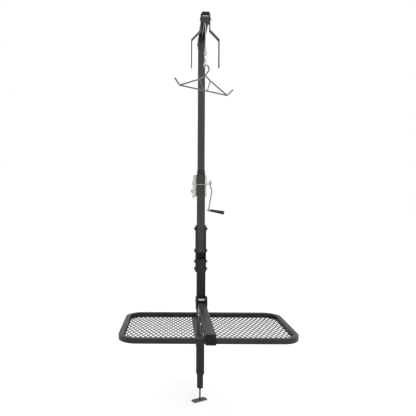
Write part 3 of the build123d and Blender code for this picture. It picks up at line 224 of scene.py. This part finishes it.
def plated(name, dark, light, metal=0.9, rough=0.36, stretch=(1, 1, 1)):
    """Plated steel: cloudy plating, small crystals, drawn scratches and dull stains."""
    n = Nodes(name)
    n.set(Metallic=metal)
    clouds = n.ramp(n.noise(35, 5, 0.65), [(0.3, dark), (0.7, light)])
    cells = n.add("TexVoronoi", {"Vector": n.coords.outputs["Object"], "Scale": 260.0}, feature="F1")
    crystals = n.ramp(cells.outputs["Distance"], [(0.0, 0.92), (0.8, 1.0)])
    colour = n.mix(0.6, clouds, crystals, "MULTIPLY")
    stain = n.ramp(n.noise(90, 4, 0.7), [(0.6, 0.0), (0.75, 0.55)])
    colour = n.mix(stain, colour, (dark[0] * 0.6, dark[1] * 0.58, dark[2] * 0.5, 1))
    n.set(Base_Color=colour)
    scratch = n.noise(300, 3, 0.6, stretch)
    n.set(Roughness=n.ramp(scratch, [(0.3, rough - 0.08), (0.7, rough + 0.14)]))
    n.set(Normal=n.bump(scratch, 0.18, 0.0002))
    return n.mat


def moulded(name, dark, light, rough, grain, depth, shine=0.5):
    """Black rubber or plastic with a moulded grain and handling marks."""
    n = Nodes(name)
    colour = n.ramp(n.noise(40, 4, 0.6), [(0.35, grey(dark)), (0.7, grey(light))])
    n.set(Base_Color=colour)
    n.set(Roughness=n.ramp(n.noise(55, 4), [(0.3, rough - 0.08), (0.7, rough + 0.1)]))
    n.set(Normal=n.bump(n.noise(grain, 2, 0.6), depth, 0.0003), Specular_IOR_Level=shine)
    return n.mat


MATS = {
    "frame_black": powder_coat("black_powder_coat", 0.006, 0.012),
    "tube_grey": powder_coat("charcoal_powder_coat", 0.022, 0.034, 0.45),
    "platform_black": powder_coat("platform_powder_coat", 0.010, 0.018, 0.4, 0.3, 0.25),
    "dark_bolts": powder_coat("blackened_bolt_steel", 0.014, 0.03, 0.36, 0.15, 0.5),
    "zinc": plated("zinc_plate", (0.50, 0.49, 0.43), (0.74, 0.73, 0.65)),
    "bright_steel": plated("bright_steel", (0.55, 0.55, 0.55), (0.78, 0.78, 0.77), 1.0, 0.24),
    "gambrel_paint": plated("gambrel_steel", (0.11, 0.11, 0.11), (0.19, 0.19, 0.19), 0.85, 0.32),
    "cable_steel": plated("cable_steel", (0.36, 0.36, 0.35), (0.6, 0.6, 0.58), 0.9, 0.34, (1, 1, 0.3)),
    "grip_rubber": moulded("grip_rubber", 0.009, 0.016, 0.62, 900, 0.5),
    "cap_plastic": moulded("cap_plastic", 0.004, 0.008, 0.5, 700, 0.3, 0.15),
}
# pieces whose tone differs from their slot's; the crank arm's darker zinc is painted shade
OWN_TONE_AND_SHADE = {
    "foot_plate": powder_coat("foot_powder_coat", 0.035, 0.06, 0.5, 0.3, 0.4),
    "inner_leg": powder_coat("leg_powder_coat", 0.010, 0.018),
    # crank arm: a darker copy of the zinc, painted shade for the shadow it sits in
    "crank_arm": plated("crank_zinc_painted_shade", (0.13, 0.127, 0.11), (0.25, 0.245, 0.21)),
    "cable_keeper": plated("keeper_steel", (0.27, 0.31, 0.31), (0.40, 0.44, 0.44), 0.85),
    "bracket_rod": plated("rod_steel", (0.22, 0.22, 0.215), (0.34, 0.34, 0.33)),
    "hinge_pin": plated("pin_steel", (0.34, 0.38, 0.38), (0.5, 0.54, 0.54)),
}
slot_of = {s["node"]: s["material_slot"] for s in frame["record"]["subparts"]}
body_of = {n: b for b, group in frame["record"]["behaviour"]["bodies"].items() for n in group}
joint_of = {j["name"]: j for j in frame["record"]["behaviour"]["joints"]}
for node, obj in nodes.items():
    obj.data.materials.clear()
    obj.data.materials.append(OWN_TONE_AND_SHADE.get(node) or MATS[slot_of[node]])


# ---------------------------------------------------------------- mesh helpers
def piece(name, bm, like, replaces=(), slot=None, body=None, sharp=35):
    """Turns a bmesh into a piece that rides with a CAD node's body and has its finish."""
    bmesh.ops.recalc_face_normals(bm, faces=bm.faces)
    data = bpy.data.meshes.new(name)
    bm.to_mesh(data)
    bm.free()
    data.polygons.foreach_set("use_smooth", [True] * len(data.polygons))
    data.set_sharp_from_angle(angle=math.radians(sharp))
    obj = bpy.data.objects.new(name, data)
    bpy.context.scene.collection.objects.link(obj)
    slot = slot or slot_of[like]
    data.materials.append(MATS[slot])
    if body != "":
        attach(obj, body or body_of[like])
    if replaces:
        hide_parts(*replaces)
    return obj


def islands(node):
    """The boxes of a CAD node's separate solids, lowest x first."""
    bm = bmesh.new()
    bm.from_mesh(nodes[node].data)
    bmesh.ops.remove_doubles(bm, verts=bm.verts, dist=1e-6)
    left = set(bm.verts)
    boxes = []
    while left:
        group = [left.pop()]
        for vert in group:
            for edge in vert.link_edges:
                other = edge.other_vert(vert)
                if other in left:
                    left.remove(other)
                    group.append(other)
        points = [v.co for v in group]
        lo = Vector([min(p[i] for p in points) for i in range(3)])
        hi = Vector([max(p[i] for p in points) for i in range(3)])
        boxes.append((lo, hi))
    bm.free()
    return sorted(boxes, key=lambda b: (round(b[0].x, 4), round(b[0].z, 4), round(b[0].y, 4)))


def rings(bm, origin, axis, rows, segments=24):
    """Skins a stack of rings along an axis; a row is a distance and a radius, each one number or a list."""
    up = Vector(axis).normalized()
    side = Vector((0, 0, 1)) if abs(up.z) < 0.9 else Vector((0, 1, 0))
    side = (side - up * side.dot(up)).normalized()
    other = up.cross(side)
    last = None
    first = None
    for at, radius in rows:
        ring = []
        for k in range(segments):
            angle = 2 * math.pi * k / segments
            t = at[k] if isinstance(at, list) else at
            r = radius[k] if isinstance(radius, list) else radius
            outward = side * math.cos(angle) + other * math.sin(angle)
            ring.append(bm.verts.new(Vector(origin) + up * t + outward * r))
        if last:
            for k in range(segments):
                bm.faces.new((last[k - 1], last[k], ring[k], ring[k - 1]))
        first = first or ring
        last = ring
    bm.faces.new(list(reversed(first)))
    bm.faces.new(last)


def hex_radii(flats, segments=24):
    step = math.pi / 3
    half = step / 2
    return [flats / 2 / math.cos((2 * math.pi * k / segments + half) % step - half) for k in range(segments)]


def hex_rows(flats, start, end, chamfer_start=False, chamfer_end=True):
    """Rows of a hexagon whose ends are turned off at 30 degrees."""
    corners = hex_radii(flats)
    circle = flats * 0.475
    slope = math.tan(math.radians(30))
    rows = []
    if chamfer_start:
        rows += [(start, circle), ([start + (r - circle) * slope for r in corners], corners)]
    else:
        rows.append((start, corners))
    if chamfer_end:
        rows += [([end - (r - circle) * slope for r in corners], corners), (end, circle)]
    else:
        rows.append((end, corners))
    return rows


def thread_rows(radius, pitch, start, end, segments=24, deep=0.61, per_turn=6):
    """Rows of a helical thread."""
    count = max(2, int((end - start) / pitch * per_turn))
    rows = []
    for i in range(count + 1):
        t = start + (end - start) * i / count
        line = []
        for k in range(segments):
            phase = (t / pitch - k / segments) % 1.0
            line.append(radius - pitch * deep * (1 - abs(2 * phase - 1)))
        rows.append((t, line))
    return rows


def tube(bm, points, radius, segments=12, lobes=0, lay=0.03, closed=False):
    """A tube along close points; with lobes it shows the strands of a laid cable."""
    up = Vector((0, 0, 1))
    rows = []
    run = 0.0
    count = len(points)
    for i, point in enumerate(points):
        before = points[i - 1] if i or closed else point
        after = points[(i + 1) % count] if i < count - 1 or closed else point
        way = (after - before).normalized()
        if i == 0:
            side = way.orthogonal().normalized()
            if abs(way.x) < 0.9:
                side = (Vector((1, 0, 0)) - way * way.x).normalized()
        side = (side - way * side.dot(way)).normalized()
        other = way.cross(side)
        if i:
            run += (point - points[i - 1]).length
        wide = radius(i) if callable(radius) else radius
        ring = []
        for k in range(segments):
            angle = 2 * math.pi * k / segments
            r = wide
            if lobes:
                r *= 0.84 + 0.16 * abs(math.cos(lobes / 2 * (angle - 2 * math.pi * run / lay)))
            ring.append(bm.verts.new(point + (side * math.cos(angle) + other * math.sin(angle)) * r))
        rows.append(ring)
    pairs = list(zip(rows, rows[1:])) + ([(rows[-1], rows[0])] if closed else [])
    for a, b in pairs:
        for k in range(segments):
            bm.faces.new((a[k - 1], a[k], b[k], b[k - 1]))
    if not closed:
        bm.faces.new(list(reversed(rows[0])))
        bm.faces.new(rows[-1])


def spaced(points, step):
    """Points at even spacing along straight runs."""
    out = [points[0]]
    for a, b in zip(points, points[1:]):
        count = max(1, round((b - a).length / step))
        out += [a.lerp(b, i / count) for i in range(1, count + 1)]
    return out


def arc(centre, a, b, radius, start, end, count):
    """Points on an arc in the plane of two directions, angles in degrees."""
    out = []
    for i in range(count + 1):
        angle = math.radians(start + (end - start) * i / count)
        out.append(centre + a * math.cos(angle) * radius + b * math.sin(angle) * radius)
    return out


# ---------------------------------------------------------------- fasteners
WASHER = 1.6 * MM
WASHER_REACH = 0.66      # washer's radius as a share of the head's flats
WASHER_EDGE = 0.64       # the same at its rounded edge
LOCK_COLLAR = 0.22       # share of a locknut that is the round collar
COLLAR_REACH = 0.44
COLLAR_EDGE = 0.43
COLLAR_TOP = 0.36
BOLT_PITCH = 1.6 * MM
NUT_MOST = 12 * MM       # a shorter solid of a bolt node is a nut
X_AXIS = Vector((1, 0, 0))
Y_AXIS = Vector((0, 1, 0))
Z_AXIS = Vector((0, 0, 1))


def bolt(bm, head_face, axis, flats, head, radius, end, nut=None):
    """A hexagon bolt with a washer, and a locknut with its own washer and collar."""
    reach = flats * WASHER_REACH
    edge = flats * WASHER_EDGE
    rings(bm, head_face, axis, hex_rows(flats, 0, head - WASHER, True, False))
    rings(bm, head_face, axis, [(head - WASHER, edge), (head - 0.2 * MM, reach), (head, reach)])
    rings(bm, head_face, axis, [(head - WASHER, radius), (nut[0] if nut else end, radius)])
    if nut:
        start, stop = nut
        rings(bm, head_face, axis, [(start, reach), (start + WASHER, edge)])
        collar = stop - (stop - start) * LOCK_COLLAR
        rings(bm, head_face, axis, hex_rows(flats, start + WASHER, collar, True, True))
        collar_rows = [
            (collar - 0.3 * MM, flats * COLLAR_REACH),
            (stop - 0.8 * MM, flats * COLLAR_EDGE),
            (stop, flats * COLLAR_TOP),
            (stop, radius),
        ]
        rings(bm, head_face, axis, collar_rows)
        tip = thread_rows(radius, BOLT_PITCH, start, end - 0.8 * MM)
        rings(bm, head_face, axis, tip + [(end, radius * 0.75)])


def centre_of(box):
    return (box[0] + box[1]) / 2


def is_nut(box):
    return box[1].x - box[0].x < NUT_MOST


def bolts_along_x(bm, node, head, radius, flats=None):
    """A bolt for each long solid of a node that lies along X, with the nut that shares its axis."""
    boxes = islands(node)
    for box in boxes:
        if is_nut(box):
            continue
        lo, hi = box
        mid = centre_of(box)
        nuts = [b for b in boxes if is_nut(b) and (centre_of(b) - mid).yz.length < MM]
        nut = (nuts[0][0].x - lo.x, nuts[0][1].x - lo.x) if nuts else None
        head_high = head or nuts[0][1].x - nuts[0][0].x
        face = Vector((lo.x, mid.y, mid.z))
        bolt(bm, face, X_AXIS, flats or hi.z - lo.z, head_high, radius, hi.x - lo.x, nut)


BOLT_NODES = {
    "splice_bolts": (8.5, 6.35),
    "fold_pivot_bolt": (8.5, 6.35),
    "mast_lock_bolt": (8.5, 6.35),
    "wing_bolts": (5.5, 4),
}
for node_name, (head_high, shank) in BOLT_NODES.items():
    bm = bmesh.new()
    bolts_along_x(bm, node_name, head_high * MM, shank * MM)
    piece(node_name + "_detail", bm, node_name, (node_name,))

# hexagon spacers in the gap between the left rail and the bar
RAIL_PLATE = 6 * MM
SPACER_FLATS = 13 * MM
bm = bmesh.new()
bar_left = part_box("platform_bar")[0].x
rail_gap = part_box("wing_rails")[0].x + RAIL_PLATE
for box in islands("wing_bolts"):
    if not is_nut(box):
        mid = centre_of(box)
        rings(bm, (0, mid.y, mid.z), X_AXIS, hex_rows(SPACER_FLATS, rail_gap, bar_left, True, True))
piece("wing_bolt_spacers", bm, "wing_bolts", slot="bright_steel")

# sheave axles, with a round spacer on each side of the wheel
AXLE_FLATS = 13 * MM
AXLE_RADIUS = 5 * MM
BOOM_WALL = 4.8 * MM
SPACER_RADIUS = 7.5 * MM
SPACER_EDGE = 6.9 * MM
fork_lo, fork_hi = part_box("fork_bars")
boom_lo, boom_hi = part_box("boom")
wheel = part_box("front_sheave")[1].x + 0.3 * MM
cheek = boom_hi.x - BOOM_WALL
spacer = [
    (wheel, SPACER_EDGE),
    (wheel + MM, SPACER_RADIUS),
    (cheek - MM, SPACER_RADIUS),
    (cheek, SPACER_EDGE),
]
bm = bmesh.new()
bolts_along_x(bm, "sheave_axles", None, AXLE_RADIUS, AXLE_FLATS)
for box in islands("sheave_axles"):
    if not is_nut(box):
        mid = centre_of(box)
        for sign in (-1, 1):
            rings(bm, (0, mid.y, mid.z), X_AXIS * sign, spacer)
piece("sheave_axles_detail", bm, "sheave_axles", ("sheave_axles",))

bm = bmesh.new()
for box in islands("winch_mount_bolts"):
    lo, hi = box
    mid = centre_of(box)
    bolt(bm, Vector((mid.x, hi.y, mid.z)), -Y_AXIS, hi.z - lo.z, 5.5 * MM, 4 * MM, hi.y - lo.y)
piece("winch_mount_bolts_detail", bm, "winch_mount_bolts", ("winch_mount_bolts",))

# lock screw of the mast collar: a hexagon head on a threaded shank
LOCK_FLATS = 13 * MM
LOCK_HEAD = 5.5 * MM
LOCK_RADIUS = 4 * MM
LOCK_PITCH = 1.25 * MM
bm = bmesh.new()
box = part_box("collar_lock_screw")
mid = centre_of(box)
face = Vector((mid.x, box[0].y, mid.z))
long = box[1].y - box[0].y
rings(bm, face, Y_AXIS, hex_rows(LOCK_FLATS, 0, LOCK_HEAD, True, True))
rings(bm, face, Y_AXIS, thread_rows(LOCK_RADIUS, LOCK_PITCH, LOCK_HEAD - 0.3 * MM, long))
piece("collar_lock_screw_detail", bm, "collar_lock_screw", ("collar_lock_screw",))

# foot screw: a threaded rod with turned ends
FOOT_RADIUS = 5.5 * MM
FOOT_END = 4.6 * MM
FOOT_PITCH = 1.75 * MM
FOOT_DEEP = 0.55
bm = bmesh.new()
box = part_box("foot_screw")
mid = centre_of(box)
long = box[1].z - box[0].z
thread = thread_rows(FOOT_RADIUS, FOOT_PITCH, MM, long - MM, deep=FOOT_DEEP)
rings(bm, Vector((mid.x, mid.y, box[0].z)), Z_AXIS, [(0, FOOT_END)] + thread + [(long, FOOT_END)])
piece("foot_screw_threaded", bm, "foot_screw", ("foot_screw",), sharp=60)

# ---------------------------------------------------------------- cable
CABLE = 2.4 * MM
STRANDS = 6
CABLE_SIDES = 30
TURN_SIDES = 18          # coarser where the cable is wound
CABLE_STEP = 2.6 * MM
TURN_STEPS = 40          # points in each turn on the drum
lo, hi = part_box("cable_boom_run")
back = hi.y - CABLE
front = lo.y + CABLE
top = hi.z - CABLE
bend = top - lo.z
level = [Vector((0, back - bend, top)), Vector((0, front + bend, top))]
run = arc(Vector((0, back - bend, lo.z)), Y_AXIS, Z_AXIS, bend, 0, 90, 12)
run += spaced(level, CABLE_STEP)[1:-1]
run += arc(Vector((0, front + bend, lo.z)), Y_AXIS, Z_AXIS, bend, 90, 180, 12)
bm = bmesh.new()
tube(bm, run, CABLE, CABLE_SIDES, STRANDS)
piece("cable_over_boom", bm, "cable_boom_run", ("cable_boom_run",), sharp=70)

for node_name, a, b in (("cable_riser", "mid_mast", "upper_mast"), ("cable_drop", "upper_mast", "cable_end")):
    lo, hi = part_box(node_name)
    mid = centre_of((lo, hi))
    low, high = Vector((mid.x, mid.y, lo.z)), Vector((mid.x, mid.y, hi.z))
    bm = bmesh.new()
    tube(bm, spaced([low, high], CABLE_STEP), CABLE, CABLE_SIDES, STRANDS)
    obj = piece(node_name + "_laid", bm, node_name, (node_name,), body="", sharp=70)
    if a == "mid_mast":
        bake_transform(obj)
    else:
        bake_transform(obj)

# turns on the drum, with the layer under them as a plain core
lo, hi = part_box("cable_wrap")
centre = centre_of((lo, hi))
wrap = (hi.z - lo.z) / 2 - CABLE
turns = int((hi.x - lo.x) / (2.02 * CABLE)) - 1
pitch = (hi.x - lo.x - 2 * CABLE) / turns
coil = []
for i in range(turns * TURN_STEPS + 1):
    angle = 2 * math.pi * i / TURN_STEPS
    x = lo.x + CABLE + pitch * i / TURN_STEPS
    coil.append(Vector((x, centre.y + math.cos(angle) * wrap, centre.z + math.sin(angle) * wrap)))
core = wrap - CABLE * 0.5
bm = bmesh.new()
tube(bm, coil, CABLE, TURN_SIDES, STRANDS)
rings(bm, (0, centre.y, centre.z), X_AXIS, [(lo.x, core), (hi.x, core)], 48)
piece("cable_turns", bm, "cable_wrap", ("cable_wrap",), sharp=70)

# ---------------------------------------------------------------- crank grip
GRIP_RIBS = 9
GRIP_THIN = 8.3 * MM
GRIP_SPREAD = 4.4 * MM   # how much wider the far end is
GRIP_GROOVE = 0.9 * MM
GRIP_ENDS = 4 * MM       # plain length at both ends together
spin = joint_of["grip_spin"]
grip_way = Vector(spin["axis"]).normalized()
grip_at = Vector(spin["pos_m"])
reach = [(v.co - grip_at).dot(grip_way) for v in nodes["crank_grip"].data.vertices]
near, far = min(reach), max(reach)
rows = [(near, 6.5 * MM), (near + 0.8 * MM, 8 * MM)]
for i in range(GRIP_RIBS * 6 + 1):
    share = i / (GRIP_RIBS * 6)
    wide = GRIP_THIN + GRIP_SPREAD * share
    groove = GRIP_GROOVE if i % 6 in (2, 3) and 0.1 < share < 0.93 else 0.0
    rows.append((near + 1.6 * MM + (far - near - GRIP_ENDS) * share, wide - groove))
rows += [(far - 1.2 * MM, 12.4 * MM), (far - 0.3 * MM, 11.4 * MM), (far, 9.5 * MM), (far, 4.4 * MM)]
bm = bmesh.new()
rings(bm, grip_at, grip_way, rows, 40)
piece("ribbed_grip", bm, "crank_grip", ("crank_grip",), sharp=40)

# ---------------------------------------------------------------- welds
BEAD_STEP = 1.1 * MM
BEAD_SIDES = 10
POST_BEAD = 1.8 * MM
SHANK_BEAD = 2.6 * MM
EAR_BEAD = 2.2 * MM
MAST_BEAD = 2 * MM
SMALL_BEAD = 1.6 * MM
RIGHT_EAR = 28.9 * MM    # inner face of the right ear, beyond the post
EAR_WELD = 55 * MM       # height of the bead on the right ear
BOOM_SIDE = 37 * MM      # from the foot of the cheeks up to the channel's side


def bead(bm, points, radius, closed=False):
    """A weld bead: a low rippled ridge along close points."""
    path = spaced(points + ([points[0]] if closed else []), BEAD_STEP)
    wobble = [rng.uniform(0.9, 1.1) for _ in path]
    tube(bm, path, lambda i: radius * wobble[i] * (0.8 + 0.2 * abs(math.sin(i * 0.75))), BEAD_SIDES)


def outline(lo, hi, level, grow=0.0):
    """The corners of a box's outline at one height."""
    return [
        Vector((lo.x - grow, lo.y - grow, level)),
        Vector((hi.x + grow, lo.y - grow, level)),
        Vector((hi.x + grow, hi.y + grow, level)),
        Vector((lo.x - grow, hi.y + grow, level)),
    ]


def upright_bead(bm, x, y, low, high, radius):
    bead(bm, [Vector((x, y, low)), Vector((x, y, high))], radius)


def level_bead(bm, x, front, back, z, radius):
    bead(bm, [Vector((x, front, z)), Vector((x, back, z))], radius)


post_lo, post_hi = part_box("mast_post")
bm = bmesh.new()
bead(bm, outline(post_lo, post_hi, post_lo.z, -0.4 * MM), POST_BEAD, True)
shank_lo, shank_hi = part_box("hitch_shank")
y = post_hi.y + 0.3 * MM
shank_end = [
    Vector((shank_lo.x, y, shank_lo.z)),
    Vector((shank_hi.x, y, shank_lo.z)),
    Vector((shank_hi.x, y, shank_hi.z)),
    Vector((shank_lo.x, y, shank_hi.z)),
]
bead(bm, shank_end, SHANK_BEAD, True)
for lo, hi in islands("hinge_ears"):
    left = hi.x < 0
    x = min(max(hi.x if left else RIGHT_EAR, post_lo.x + MM), post_hi.x - 0.5 * MM)
    upright_bead(bm, x, post_lo.y, lo.z + 4 * MM, hi.z if left else lo.z + EAR_WELD, EAR_BEAD)
piece("post_welds", bm, "mast_post")

bm = bmesh.new()
mast_lo, mast_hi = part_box("upper_mast")
for sign in (-1, 1):
    x = sign * (mast_hi.x + 0.6 * MM)
    level_bead(bm, x, mast_lo.y + 2 * MM, mast_hi.y - 2 * MM, mast_hi.z, MAST_BEAD)
for sign in (-1, 1):
    x = sign * (boom_hi.x + 0.2 * MM)
    for y in (fork_lo.y, fork_hi.y):
        upright_bead(bm, x, y, boom_lo.z + BOOM_SIDE, fork_hi.z - 12 * MM, SMALL_BEAD)
piece("boom_welds", bm, "boom")

bm = bmesh.new()
for lo, hi in islands("bar_lugs"):
    for x in (lo.x, hi.x):
        level_bead(bm, x, lo.y + 2 * MM, hi.y - 2 * MM, lo.z + 0.3 * MM, SMALL_BEAD)
piece("lug_welds", bm, "bar_lugs")
